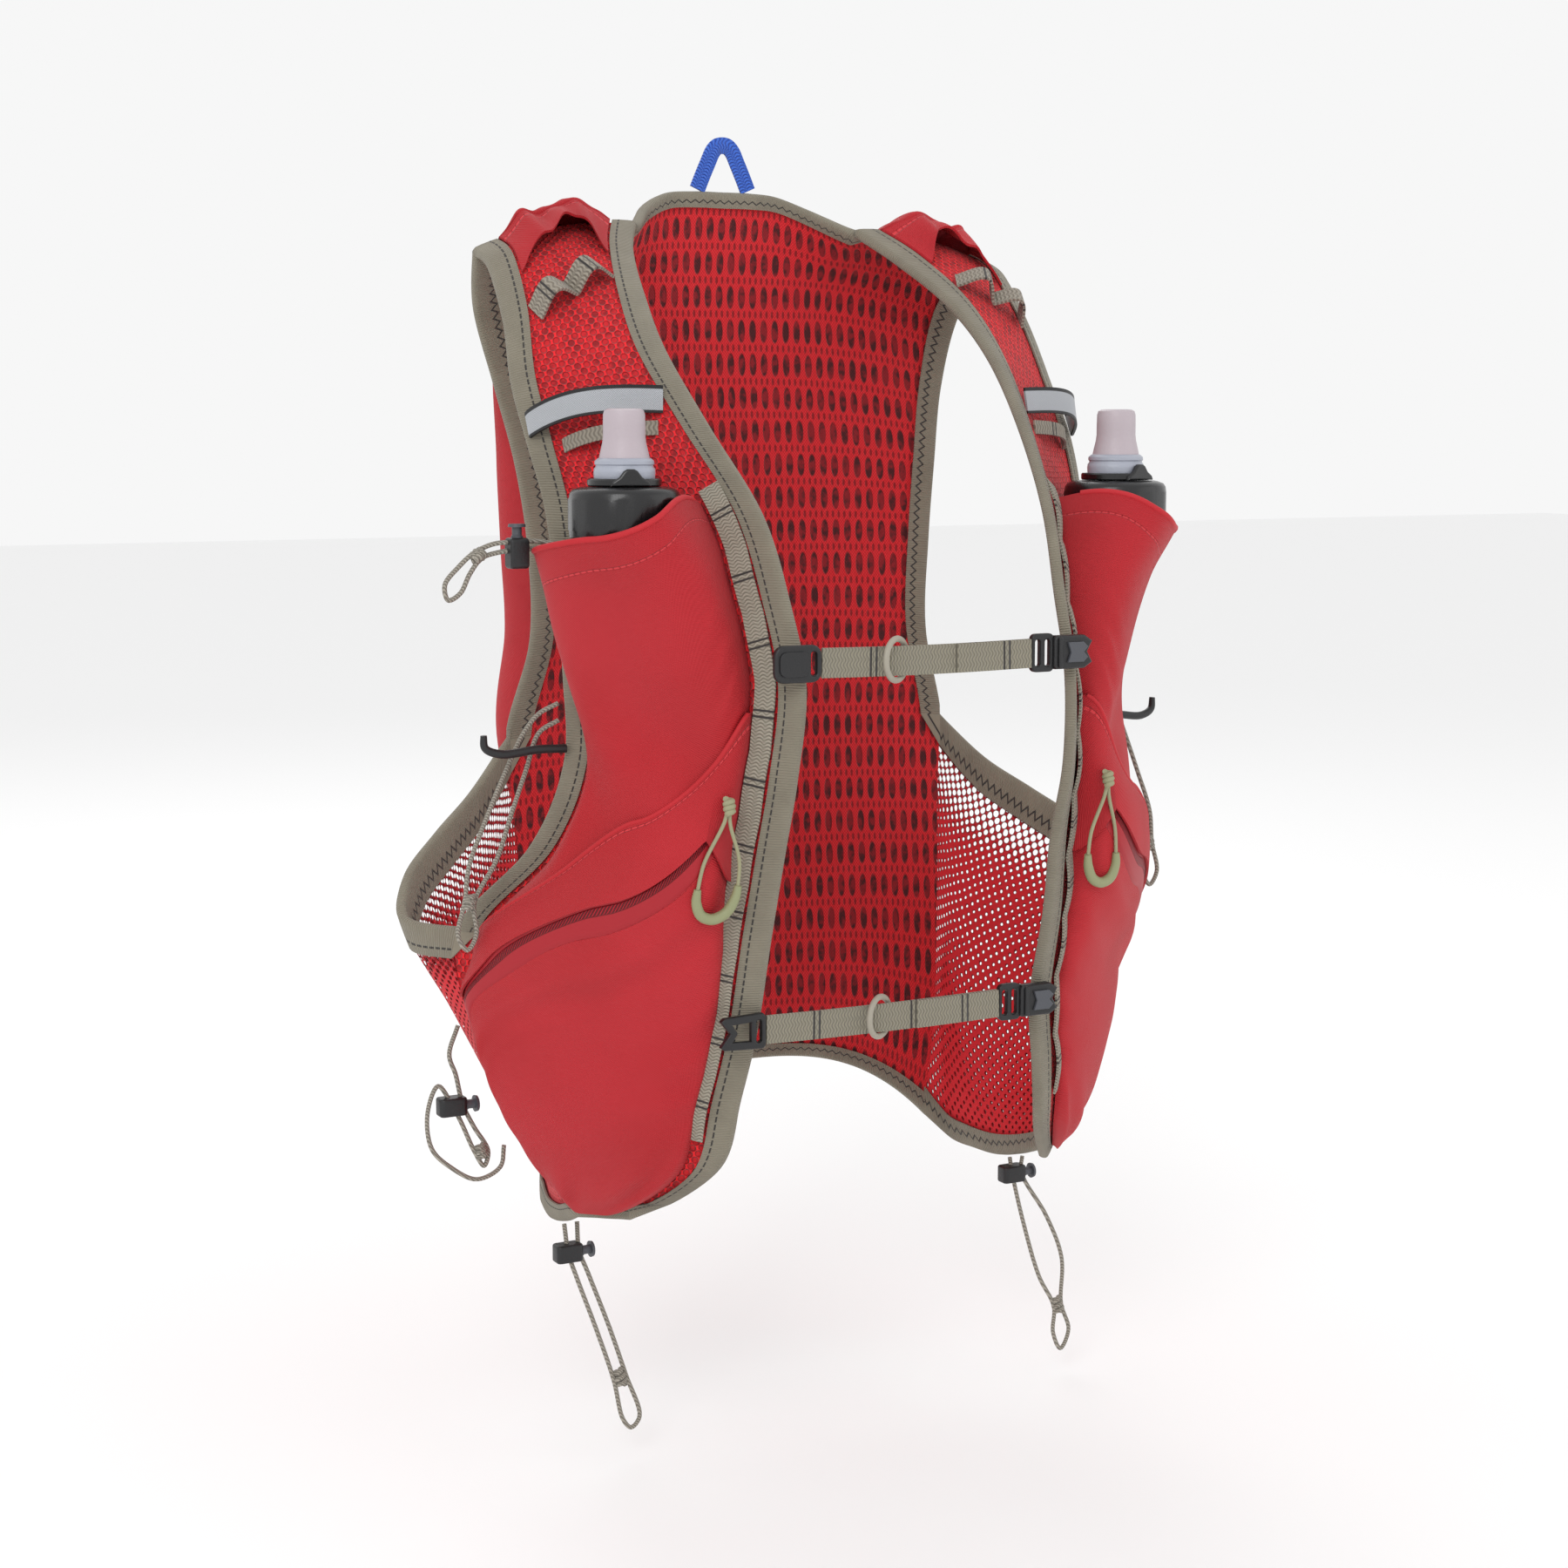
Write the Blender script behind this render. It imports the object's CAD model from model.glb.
# %% [markdown]
# # A running hydration vest
# The vest was drawn as solids first, and this script dresses them: mesh, stretch cloth, tape, cords and
# moulded pieces. Everything is in metres in the frame of the solids. The wearer would face -Y, and +X is the
# wearer's left. Loading comes first, because each piece below stands for a solid and rides on its body.

# %% Load the solids
import math

import bpy
import numpy as np
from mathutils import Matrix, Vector


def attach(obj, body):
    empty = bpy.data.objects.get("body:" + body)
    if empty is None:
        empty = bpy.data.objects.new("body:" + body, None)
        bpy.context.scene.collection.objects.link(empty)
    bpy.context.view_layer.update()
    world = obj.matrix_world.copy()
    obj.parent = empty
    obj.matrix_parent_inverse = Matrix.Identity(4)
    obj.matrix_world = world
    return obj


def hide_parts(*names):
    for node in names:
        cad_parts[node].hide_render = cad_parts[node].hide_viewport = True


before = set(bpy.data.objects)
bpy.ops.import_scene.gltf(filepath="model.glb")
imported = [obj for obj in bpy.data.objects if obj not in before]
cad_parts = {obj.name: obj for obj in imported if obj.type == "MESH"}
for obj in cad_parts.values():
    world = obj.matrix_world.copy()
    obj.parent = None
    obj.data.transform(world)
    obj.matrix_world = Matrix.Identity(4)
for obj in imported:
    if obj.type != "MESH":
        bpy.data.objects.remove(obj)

scene = bpy.context.scene
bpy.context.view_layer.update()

# %% [markdown]
# ## Camera and light
# The vest is seen from a little above its chest and from the wearer's right front. A long lens keeps the
# straps from spreading. Large soft lamps and a bright surround give the even light of a studio picture.

# %% Camera
camera_data = bpy.data.cameras.new("studio_camera")
camera_data.lens = 63
camera_data.sensor_width = 36
camera = bpy.data.objects.new("studio_camera", camera_data)
scene.collection.objects.link(camera)
camera.location = (-0.5808, -1.1329, -0.0847)
aim = Vector((-0.0175, -0.0735, -0.2448))
camera.rotation_euler = (aim - camera.location).to_track_quat("-Z", "Y").to_euler()
scene.camera = camera
print("camera looks from", round((aim - camera.location).length, 3), "m")

# %% Lamps and surround
scene.view_settings.view_transform = "Standard"
world = bpy.data.worlds.new("studio")
world.use_nodes = True
world.node_tree.nodes["Background"].inputs["Color"].default_value = (1, 1, 1, 1)
world.node_tree.nodes["Background"].inputs["Strength"].default_value = 0.93
scene.world = world
for name, spot, size, power in (
    ("key_lamp", (-1.3, -1.5, 1.1), 1.0, 13),
    ("fill_lamp", (1.5, -1.3, 0.3), 1.5, 3),
    ("back_lamp", (0.4, 1.6, 1.2), 1.2, 7),
):
    lamp_data = bpy.data.lights.new(name, "AREA")
    lamp_data.size = size
    lamp_data.energy = power
    lamp = bpy.data.objects.new(name, lamp_data)
    scene.collection.objects.link(lamp)
    lamp.location = spot
    lamp.rotation_euler = (Vector((0, 0, -0.25)) - lamp.location).to_track_quat("-Z", "Y").to_euler()
print(len(bpy.data.lights), "lamps")

# %% [markdown]
# ## Shader maths as expressions
# Weave, stitches and holes are rules over a surface, so they are worked out from its marks, which are
# millimetres along and across the cloth. One class wraps a socket, so that a rule reads as an expression.

# %% A socket that can be calculated with
class Wire:
    def __init__(self, finish, socket):
        self.finish, self.socket = finish, socket

    def math(self, operation, *values):
        return self.finish.node("ShaderNodeMath", {"operation": operation}, list(values))

    def __add__(self, other): return self.math("ADD", self, other)
    def __radd__(self, other): return self.math("ADD", other, self)
    def __sub__(self, other): return self.math("SUBTRACT", self, other)
    def __rsub__(self, other): return self.math("SUBTRACT", other, self)
    def __mul__(self, other): return self.math("MULTIPLY", self, other)
    def __rmul__(self, other): return self.math("MULTIPLY", other, self)
    def __truediv__(self, other): return self.math("DIVIDE", self, other)
    def fraction(self): return self.math("FRACT", self)
    def wave(self): return self.math("SINE", self)
    def size(self): return self.math("ABSOLUTE", self)
    def root(self): return self.math("SQRT", self)
    def least(self, other): return self.math("MINIMUM", self, other)
    def most(self, other): return self.math("MAXIMUM", self, other)

    def rise(self, low, high):
        return self.finish.node("ShaderNodeMapRange", {"interpolation_type": "SMOOTHSTEP"},
                                {"Value": self, "From Min": low, "From Max": high})

    def band(self, middle, half, soft):
        return 1 - (self - middle).size().rise(half - soft, half + soft)


def paint(red, green, blue):
    steps = [c / 255 for c in (red, green, blue)]
    return (*[c / 12.92 if c <= 0.04045 else ((c + 0.055) / 1.055) ** 2.4 for c in steps], 1.0)


print("white is", paint(255, 255, 255))

# %% A finish: one material, its nodes and its skin
class Finish:
    def __init__(self, name, colour, roughness, **fixed):
        self.material = bpy.data.materials.new(name)
        self.material.use_nodes = True
        self.tree = self.material.node_tree
        self.skin = self.tree.nodes["Principled BSDF"]
        self.set("Base Color", colour)
        self.set("Roughness", roughness)
        for key, value in fixed.items():
            self.set(key.replace("_", " "), value)

    def set(self, key, value):
        self.plug(value, self.skin.inputs[key])

    def plug(self, value, socket):
        if isinstance(value, Wire):
            self.tree.links.new(value.socket, socket)
        else:
            socket.default_value = value

    def node(self, kind, settings=(), inputs=(), output=0):
        node = self.tree.nodes.new(kind)
        for key, value in dict(settings).items():
            setattr(node, key, value)
        for key, value in (inputs.items() if isinstance(inputs, dict) else enumerate(inputs)):
            self.plug(value, node.inputs[key])
        return Wire(self, node.outputs[output])

    def marks(self):
        spot = self.node("ShaderNodeUVMap", {"uv_map": "marks"})
        return [self.node("ShaderNodeSeparateXYZ", {}, [spot], output=k) for k in (0, 1)]

    def place(self):
        return self.node("ShaderNodeTexCoord", output=3)

    def grain(self, scale, detail=2.0):
        return self.node("ShaderNodeTexNoise", {}, {"Vector": self.place(), "Scale": scale, "Detail": detail})

    def tint(self, mask, below, above):
        return self.node("ShaderNodeMix", {"data_type": "RGBA"}, {0: mask, 6: below, 7: above}, output=2)

    def relief(self, height, depth):
        raised = self.node("ShaderNodeBump", {}, {"Strength": 1.0, "Distance": depth, "Height": height})
        self.set("Normal", raised)


def holes(x, y, wide, tall, half_wide, half_tall):
    def near(shift):
        aside = ((x / wide + shift).fraction() - 0.5) * (wide / half_wide)
        down = ((y / tall + shift).fraction() - 0.5) * (tall / half_tall)
        return (aside * aside + down * down).root()
    return near(0.0).least(near(0.5))


print("holes are staggered on two grids, half a step apart")

# %% [markdown]
# ## Red meshes and cloth
# The straps are a spacer mesh with a honeycomb of small pits. The back panel has rows of tall ovals, and the
# wings are a thin mesh that shows the light between its threads. Pits are darker and lie deeper, and the
# wings' holes are truly open. The pockets are a smooth stretch cloth with a very fine twill.

# %% Strap mesh
strap_mesh = Finish("strap_mesh", paint(214, 38, 50), 0.85, Sheen_Weight=0.08)
x, y = strap_mesh.marks()
pit = holes(x, y, 4.0, 6.0, 1.5, 1.75).rise(0.7, 1.12)
strap_mesh.set("Base Color", strap_mesh.tint(pit, strap_mesh.tint(
    strap_mesh.grain(230).rise(0.35, 0.6), paint(140, 6, 16), paint(196, 14, 26)), strap_mesh.tint(
    strap_mesh.grain(60), paint(230, 18, 30), paint(242, 30, 40))))
strap_mesh.relief(pit, 0.0012)
print(strap_mesh.material.name)

# %% Back mesh with tall ovals
back_mesh = Finish("back_mesh", paint(200, 40, 50), 0.88, Sheen_Weight=0.06)
x, y = back_mesh.marks()
oval = holes(x, y, 11.6, 31.0, 1.7, 5.2).least(holes(x + 5.8, y, 11.6, 31.0, 1.7, 5.2)).rise(0.85, 1.12)
knit = (x * (math.tau / 1.3)).wave() * (y * (math.tau / 1.6)).wave()
slit_aside = ((x / 2.9).fraction() - 0.5) * (2.9 / 0.6)
slit_down = ((y / 15.5).fraction() - 0.5) * (15.5 / 1.7)
slit = (slit_aside * slit_aside + slit_down * slit_down).root().rise(0.7, 1.2)
back_mesh.set("Base Color", back_mesh.tint(oval, back_mesh.tint(
    back_mesh.grain(240).rise(0.4, 0.6), paint(70, 10, 16), paint(136, 16, 26)), back_mesh.tint(
    slit, paint(142, 8, 20), back_mesh.tint(knit.rise(-0.6, 0.6), paint(190, 16, 28), paint(222, 38, 46)))))
back_mesh.relief(oval * 0.8 + slit * 0.4 + knit * 0.12, 0.0011)
print(back_mesh.material.name)

# %% Wing mesh with open holes
wing_mesh = Finish("wing_mesh", paint(196, 34, 46), 0.8, Sheen_Weight=0.06)
x, y = wing_mesh.marks()
drift = (wing_mesh.grain(180) - 0.5) * 1.4
open_share = 1.15 - (y + x * 0.15).rise(18.0, 46.0) * 0.66
hole = holes(x + drift, y + drift, 4.4, 5.6, 1.25, 1.7) / open_share
wing_mesh.set("Base Color", wing_mesh.tint(hole.rise(0.9, 1.5), paint(150, 10, 22), paint(206, 26, 38)))
wing_mesh.set("Alpha", hole.rise(0.8, 1.05))
wing_mesh.relief(hole.rise(0.8, 1.5), 0.0006)
print(wing_mesh.material.name)

# %% Stretch cloth with rows of stitches, given in millimetres from its upper edge
def seamed_cloth(name, *rows):
    cloth = Finish(name, paint(184, 24, 36), 0.7, Sheen_Weight=0.04, Sheen_Roughness=0.4)
    x, y = cloth.marks()
    thread = 0.0
    for row in rows:
        thread = y.band(row, 0.5, 0.2).most(thread)
    stitch = thread * ((x / 3.0).fraction() - 0.5).size().rise(0.1, 0.18)
    twill = ((x + y) * (math.tau / 0.9)).wave()
    cloth.set("Base Color", cloth.tint(stitch, cloth.tint(
        cloth.grain(14, 3.0).rise(0.3, 0.7), paint(178, 16, 28), paint(190, 24, 37)), paint(220, 54, 62)))
    cloth.relief(twill * 0.2 + cloth.grain(70, 3.0) * 0.9 - thread * 1.4, 0.0006)
    return cloth


stretch = seamed_cloth("stretch_cloth")
print(stretch.material.name)

# %% [markdown]
# ## Tapes
# The bound edges are a taupe knitted tape with a dark row of stitches. Webbing has ribs across it and dark
# bar-tacks where it is sewn down. Both follow the marks: millimetres along the tape, and across it.

# %% Bound edge
bound = Finish("bound_edge", paint(138, 132, 118), 0.85, Sheen_Weight=0.15)
x, y = bound.marks()
rib = (x * (math.tau / 1.1)).wave()
stitch = y.band(3.2, 0.35, 0.12) * ((x / 3.4).fraction() - 0.5).size().rise(0.12, 0.16)
zigzag = y - ((x / 4.2).fraction() - 0.5).size() * 5.0
stitch = stitch.most(zigzag.band(20.0, 0.5, 0.15))
bound.set("Base Color", bound.tint(stitch, bound.tint(
    bound.grain(70), paint(120, 113, 98), paint(144, 137, 120)), paint(54, 50, 46)))
bound.relief(rib * 0.25 + bound.grain(55, 3.0) * 1.6 - stitch * 0.9, 0.0007)
print(bound.material.name)

# %% Webbing
def webbing(name, dark, light, tack_every, rib_pitch=1.5):
    tape = Finish(name, light, 0.82, Sheen_Weight=0.15)
    x, y = tape.marks()
    cross = (x * (math.tau / rib_pitch)).wave()
    chevron = ((x + (y * (math.tau / 4.0)).wave() * 0.5) * (math.tau / rib_pitch)).wave()
    tacks = ((x / tack_every).fraction() - 0.5) * tack_every
    tack = tacks.band(-1.3, 0.45, 0.12).most(tacks.band(1.3, 0.45, 0.12))
    tape.set("Base Color", tape.tint(tack, tape.tint(chevron.rise(-0.8, 0.8), dark, light), paint(52, 48, 46)))
    tape.relief(cross * 0.5 - tack * 0.6, 0.0005)
    return tape


ladder_tape = webbing("ladder_tape", paint(126, 120, 106), paint(168, 162, 146), 28.3)
chest_tape = webbing("chest_tape", paint(120, 114, 100), paint(150, 144, 126), 47.0)
shoulder_tape = webbing("shoulder_tape", paint(122, 114, 102), paint(156, 148, 134), 30.0, 1.9)
blue_tape = webbing("blue_tape", paint(34, 74, 170), paint(60, 110, 214), 200.0)
print("webbings", ladder_tape.material.name, chest_tape.material.name)

# %% Reflective strap
shining = Finish("reflective", paint(168, 171, 172), 0.45, Metallic=0.1)
x, y = shining.marks()
side = (y - 5.5).size().rise(4.2, 4.6)
beads = holes(x, y, 0.9, 0.9, 0.35, 0.35).rise(0.6, 1.3)
shining.set("Base Color", shining.tint(side, shining.tint(beads, paint(180, 183, 188), paint(150, 153, 158)),
                                       paint(28, 28, 30)))
shining.relief(beads, 0.0002)
print(shining.material.name)

# %% [markdown]
# ## Hard finishes, rubber and cord
# The clips and locks are black moulded plastic with a fine spark-eroded skin. The bite valve is frosted soft
# rubber. The elastic cords have a braided cover.

# %% Plastics and rubber
def moulded(name, colour, roughness, grain=1400, depth=0.00012, **fixed):
    skin = Finish(name, colour, roughness, **fixed)
    speck = skin.grain(grain, 3.0)
    skin.set("Roughness", speck * 0.2 + (roughness - 0.1))
    skin.relief(speck, depth)
    return skin


black_plastic = moulded("black_plastic", paint(26, 26, 28), 0.42)
cap_plastic = moulded("cap_plastic", paint(16, 16, 18), 0.3, depth=0.00003, Coat_Weight=0.15)
ring_plastic = moulded("ring_plastic", paint(158, 152, 138), 0.5)
flask_film = moulded("flask_film", paint(176, 186, 198), 0.3, 500, Subsurface_Weight=0.2)
valve_rubber = moulded("valve_rubber", paint(180, 168, 174), 0.42, 900)
valve_foot = moulded("valve_foot", paint(162, 166, 178), 0.35, 900)
pull_rubber = moulded("pull_rubber", paint(142, 146, 108), 0.5)
print(black_plastic.material.name, valve_rubber.material.name)

# %% Braided cord
braid = Finish("braided_cord", paint(142, 136, 124), 0.8, Sheen_Weight=0.1)
weave = braid.node("ShaderNodeTexWave", {"wave_type": "BANDS", "bands_direction": "DIAGONAL"},
                   {"Vector": braid.place(), "Scale": 420.0, "Distortion": 1.5, "Detail": 2.0}, output=1)
braid.set("Base Color", braid.tint(weave, paint(112, 106, 96), paint(168, 162, 150)))
braid.relief(weave, 0.0003)
print(braid.material.name)

# %% [markdown]
# ## Free cords
# Six thin elastic cords hang from the pockets, the pole holders and the hem. Each is a doubled cord that
# leaves the vest, runs through a lock if it has one and through a knot, makes a loop and comes back. A curve
# along the same points as the solid's has the true length, and the knots are wound on top of it.

# %% Routes: x, forward and down as shares of the vest's sizes
HALF_WIDTH, FRONT_REACH, VEST_DROP = 0.130, 0.180, 0.440
MM = 0.001


def place(x, forward, down):
    parts = np.broadcast_arrays(x * HALF_WIDTH, -forward * FRONT_REACH, -down * VEST_DROP)
    return np.stack(parts, -1).astype(float)


def table(columns, rows):
    return dict(zip(columns.split(), np.array(rows, float).T))


pocket_route = table("x forward down", [
    [-1.096, 0.629, 0.307], [-1.154, 0.607, 0.304], [-1.208, 0.600, 0.305], [-1.277, 0.589, 0.306],
    [-1.338, 0.578, 0.314], [-1.385, 0.567, 0.327], [-1.427, 0.561, 0.343], [-1.415, 0.558, 0.357],
    [-1.377, 0.561, 0.351], [-1.350, 0.572, 0.333], [-1.315, 0.581, 0.319], [-1.262, 0.586, 0.314],
    [-1.208, 0.597, 0.312], [-1.154, 0.605, 0.311], [-1.096, 0.626, 0.315]])
pole_route = table("x forward down", [
    [1.026, 0.516, 0.458], [1.085, 0.500, 0.468], [1.131, 0.489, 0.486], [1.185, 0.483, 0.518],
    [1.254, 0.478, 0.564], [1.315, 0.475, 0.609], [1.330, 0.472, 0.643], [1.354, 0.472, 0.675],
    [1.323, 0.472, 0.689], [1.292, 0.472, 0.675], [1.298, 0.472, 0.645], [1.223, 0.478, 0.605],
    [1.169, 0.483, 0.559], [1.123, 0.489, 0.520], [1.085, 0.500, 0.486], [1.026, 0.516, 0.474]])
side_route = table("x forward down", [
    [-1.268, 0.300, 0.777], [-1.300, 0.300, 0.805], [-1.277, 0.297, 0.826], [-1.252, 0.294, 0.857],
    [-1.215, 0.294, 0.880], [-1.165, 0.294, 0.907], [-1.180, 0.294, 0.921], [-1.214, 0.294, 0.905],
    [-1.258, 0.294, 0.875], [-1.288, 0.294, 0.857], [-1.335, 0.289, 0.836], [-1.370, 0.283, 0.862],
    [-1.355, 0.278, 0.899], [-1.290, 0.278, 0.920], [-1.200, 0.283, 0.935], [-1.120, 0.289, 0.925],
    [-1.108, 0.294, 0.903]])
right_hem_route = table("x forward down", [
    [-0.915, 0.330, 0.987], [-0.908, 0.342, 1.016], [-0.881, 0.344, 1.041], [-0.808, 0.344, 1.100],
    [-0.746, 0.344, 1.155], [-0.712, 0.344, 1.198], [-0.681, 0.344, 1.208], [-0.650, 0.344, 1.198],
    [-0.700, 0.344, 1.152], [-0.762, 0.344, 1.098], [-0.838, 0.344, 1.039], [-0.869, 0.342, 1.014],
    [-0.865, 0.325, 0.987]])
left_hem_route = table("x forward down", [
    [0.865, 0.325, 0.987], [0.869, 0.333, 1.004], [0.923, 0.333, 1.064], [0.992, 0.333, 1.125],
    [1.060, 0.333, 1.163], [1.058, 0.333, 1.192], [1.092, 0.333, 1.212], [1.127, 0.333, 1.192],
    [1.092, 0.333, 1.160], [1.092, 0.333, 1.109], [1.023, 0.333, 1.059], [0.908, 0.333, 1.004],
    [0.915, 0.330, 0.987]])
print("rows of the pole cord's route:", len(pole_route["x"]))

# %% A smooth line through chosen points
def smooth_line(points, per_span=8):
    p = np.vstack([2 * points[0] - points[1], points, 2 * points[-1] - points[-2]])
    spans = []
    for a, b, c, d in zip(p, p[1:], p[2:], p[3:]):
        k0, k1, k2 = (max(np.linalg.norm(n - m), 1e-9) ** 0.5 for m, n in ((a, b), (b, c), (c, d)))
        start = ((b - a) / k0 - (c - a) / (k0 + k1) + (c - b) / k1) * k1
        end = ((c - b) / k1 - (d - b) / (k1 + k2) + (d - c) / k2) * k1
        t = np.arange(per_span)[:, None] / per_span
        spans.append((2 * t**3 - 3 * t**2 + 1) * b + (t**3 - 2 * t**2 + t) * start
                     + (3 * t**2 - 2 * t**3) * c + (t**3 - t**2) * end)
    return np.vstack([*spans, points[-1:]])


def distances(line):
    return np.concatenate([[0], np.cumsum(np.linalg.norm(np.diff(line, axis=0), axis=1))])


def length_of(line):
    return float(distances(line)[-1])


print("a straight metre measures", length_of(np.array([[0, 0, 0], [1, 0, 0]])))

# %% Meshes from points and faces, with their marks
def unit(v):
    return v / np.maximum(np.linalg.norm(v, axis=-1, keepdims=True), 1e-12)


def piece(name, points, faces, finish, nodes=(), marks=None, body="vest", slot=None, crease=48):
    mesh = bpy.data.meshes.new(name)
    points = np.asarray(points, float)
    volume = sum(float(np.dot(points[f[0]], np.cross(points[f[i]], points[f[i + 1]])))
                 for f in faces for i in range(1, len(f) - 1))
    faces = [tuple(f) if volume > 0 else tuple(f)[::-1] for f in faces]
    mesh.from_pydata(points.tolist(), [], faces)
    if marks is not None:
        corners = np.zeros(len(mesh.loops), np.int32)
        mesh.loops.foreach_get("vertex_index", corners)
        mesh.uv_layers.new(name="marks").data.foreach_set("uv", np.asarray(marks, float)[corners].ravel())
    mesh.shade_smooth()
    mesh.set_sharp_from_angle(angle=math.radians(crease))
    mesh.materials.append(finish.material)
    made = bpy.data.objects.new(name, mesh)
    scene.collection.objects.link(made)
    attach(made, body)
    if nodes:
        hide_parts(*nodes)
    return made


def loft(rings, closed=False):
    count, size = rings.shape[:2]
    faces = []
    for j in range(count if closed else count - 1):
        k = (j + 1) % count
        faces += [(j * size + i, j * size + (i + 1) % size, k * size + (i + 1) % size, k * size + i)
                  for i in range(size)]
    if not closed:
        faces += [tuple(range(size))[::-1], tuple(range((count - 1) * size, count * size))]
    return rings.reshape(-1, 3), faces


def tube_rings(line, radius, sides=12):
    run = unit(np.gradient(line, axis=0))
    guide = np.cross(run[0], [0.3, 0.2, 1.0])
    rings = []
    for at, way, r in zip(line, run, np.broadcast_to(radius, len(line))):
        guide = unit(guide - way * np.dot(guide, way))
        other = np.cross(way, guide)
        turn = np.linspace(0, math.tau, sides, endpoint=False)[:, None]
        rings.append(at + r * (np.cos(turn) * guide + np.sin(turn) * other))
    return np.array(rings)


print("a tube's ring has", tube_rings(np.eye(3), 0.1).shape[1], "corners")

# %% Knots wound of three turns
def knot(name, middle, way, length, width, finish=braid):
    way = unit(np.asarray(way, float))
    aside = unit(np.cross(way, [0.2, 1.0, 0.1]))
    other = np.cross(way, aside)
    t = np.linspace(0, 1, 60)[:, None]
    turn = t * math.tau * 3
    reach = (width / 2 - 0.0009) * (0.75 + 0.25 * np.sin(math.pi * t))
    line = middle + way * (t - 0.5) * (length - 0.002) + reach * (np.cos(turn) * aside + np.sin(turn) * other)
    return piece(name, *loft(tube_rings(line, 0.00125, 8)), finish, slot="cord")


# %% [markdown]
# ## Moulded plates and cord locks
# Clips, buckles and cord locks are small plates with windows and rounded edges. A flat curve with inner curves
# for the windows, extruded and bevelled, gives that shape at once, and is then turned into a mesh. A cord lock
# is a small block with a spring button at one end, and both strands run through it.

# %% Rounded outlines and moulded plates
CORNER_STEPS = 6


def rounded(width, height, radius, x=0.0):
    corners = [(1, 1, 0), (-1, 1, 1), (-1, -1, 2), (1, -1, 3)]
    outline = []
    for sx, sy, quarter in corners:
        middle = (x + sx * (width / 2 - radius), sy * (height / 2 - radius))
        for k in range(CORNER_STEPS + 1):
            turn = (quarter + k / CORNER_STEPS) * math.pi / 2
            outline.append((middle[0] + radius * math.cos(turn), middle[1] + radius * math.sin(turn)))
    return outline


def moulding(name, outlines, wall, centre, finish, axes=None, nodes=(), body="vest", bevel=0.6, crease=40):
    right, up, out = axes if axes is not None else ([1, 0, 0], [0, 0, 1], [0, -1, 0])
    curve = bpy.data.curves.new(name, "CURVE")
    curve.dimensions = "2D"
    curve.fill_mode = "BOTH"
    curve.extrude = wall / 2 - bevel
    curve.bevel_depth = bevel
    curve.bevel_resolution = 2
    curve.offset = -bevel
    for outline in outlines:
        spline = curve.splines.new("POLY")
        spline.use_cyclic_u = True
        spline.points.add(len(outline) - 1)
        for corner, (x, y) in zip(spline.points, outline):
            corner.co = (x, y, 0, 1)
    drawn = bpy.data.objects.new(name + "_drawn", curve)
    scene.collection.objects.link(drawn)
    bpy.context.view_layer.update()
    mesh = bpy.data.meshes.new_from_object(drawn.evaluated_get(bpy.context.evaluated_depsgraph_get()))
    bpy.data.objects.remove(drawn)
    flat = np.array([corner.co[:] for corner in mesh.vertices]) * MM
    points = centre + flat @ np.array([right, up, out], float)
    faces = [tuple(face.vertices) for face in mesh.polygons]
    bpy.data.meshes.remove(mesh)
    return piece(name, points, faces, finish, nodes, body=body, slot="black_plastic", crease=crease)


print("a rounded outline has", len(rounded(4, 4, 1)), "corners")

# %% Cord locks
LOCK_LENGTH, LOCK_WIDTH = 12.4, 8.0
grey_plastic = moulded("grey_plastic", paint(74, 76, 82), 0.45)


def cord_lock(node, route, pair, along_x):
    points = place(route["x"], route["forward"], route["down"])
    middle = (points[pair[0]] + points[pair[1]]) / 2
    axes = ([0, 0, 1], [0, -1, 0], [1, 0, 0]) if along_x else ([1, 0, 0], [0, 1, 0], [0, 0, 1])
    long_way = np.array(axes[0], float)
    block = moulding(node + "_skin", [rounded(LOCK_LENGTH, LOCK_WIDTH, 2.0, -2.8)], LOCK_WIDTH, middle,
                     black_plastic, axes, [node], bevel=1.0)
    stem = middle + long_way * np.array([3.0, 4.2, 4.3, 7.6, 7.7, 8.9])[:, None] * MM
    button = tube_rings(stem, np.array([2.4, 2.4, 2.0, 2.0, 3.6, 3.4]) * MM, 20)
    return [block, piece(node + "_button", *loft(button), grey_plastic, slot="black_plastic", crease=30)]


print("a lock's block is", LOCK_LENGTH, "mm long")

# %% Cords, each declared with its knot and its lock
KNOT_WIDTH = 0.0056


def free_cord(node, route, sign, knot_rows, knot_length):
    points = place(sign * route["x"], route["forward"], route["down"])
    line = smooth_line(points)
    curve = bpy.data.curves.new(node + "_cover", "CURVE")
    curve.dimensions = "3D"
    curve.bevel_depth = 0.001      # half the thickness that is declared below
    curve.bevel_resolution = 3
    curve.use_fill_caps = True
    spline = curve.splines.new("POLY")
    spline.points.add(len(line) - 1)
    spline.points.foreach_set("co", np.c_[line, np.ones(len(line))].ravel())
    curve.materials.append(braid.material)
    cover = bpy.data.objects.new(node + "_cover", curve)
    scene.collection.objects.link(cover)
    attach(cover, "vest")
    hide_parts(node)
    a, b = knot_rows
    tied = knot(node + "_knot", (points[a] + points[b]) / 2, points[a + 1] - points[a - 1], knot_length,
                KNOT_WIDTH)
    length_of(line)
    print(node, "is", round(length_of(line) * 1000), "mm long")


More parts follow.
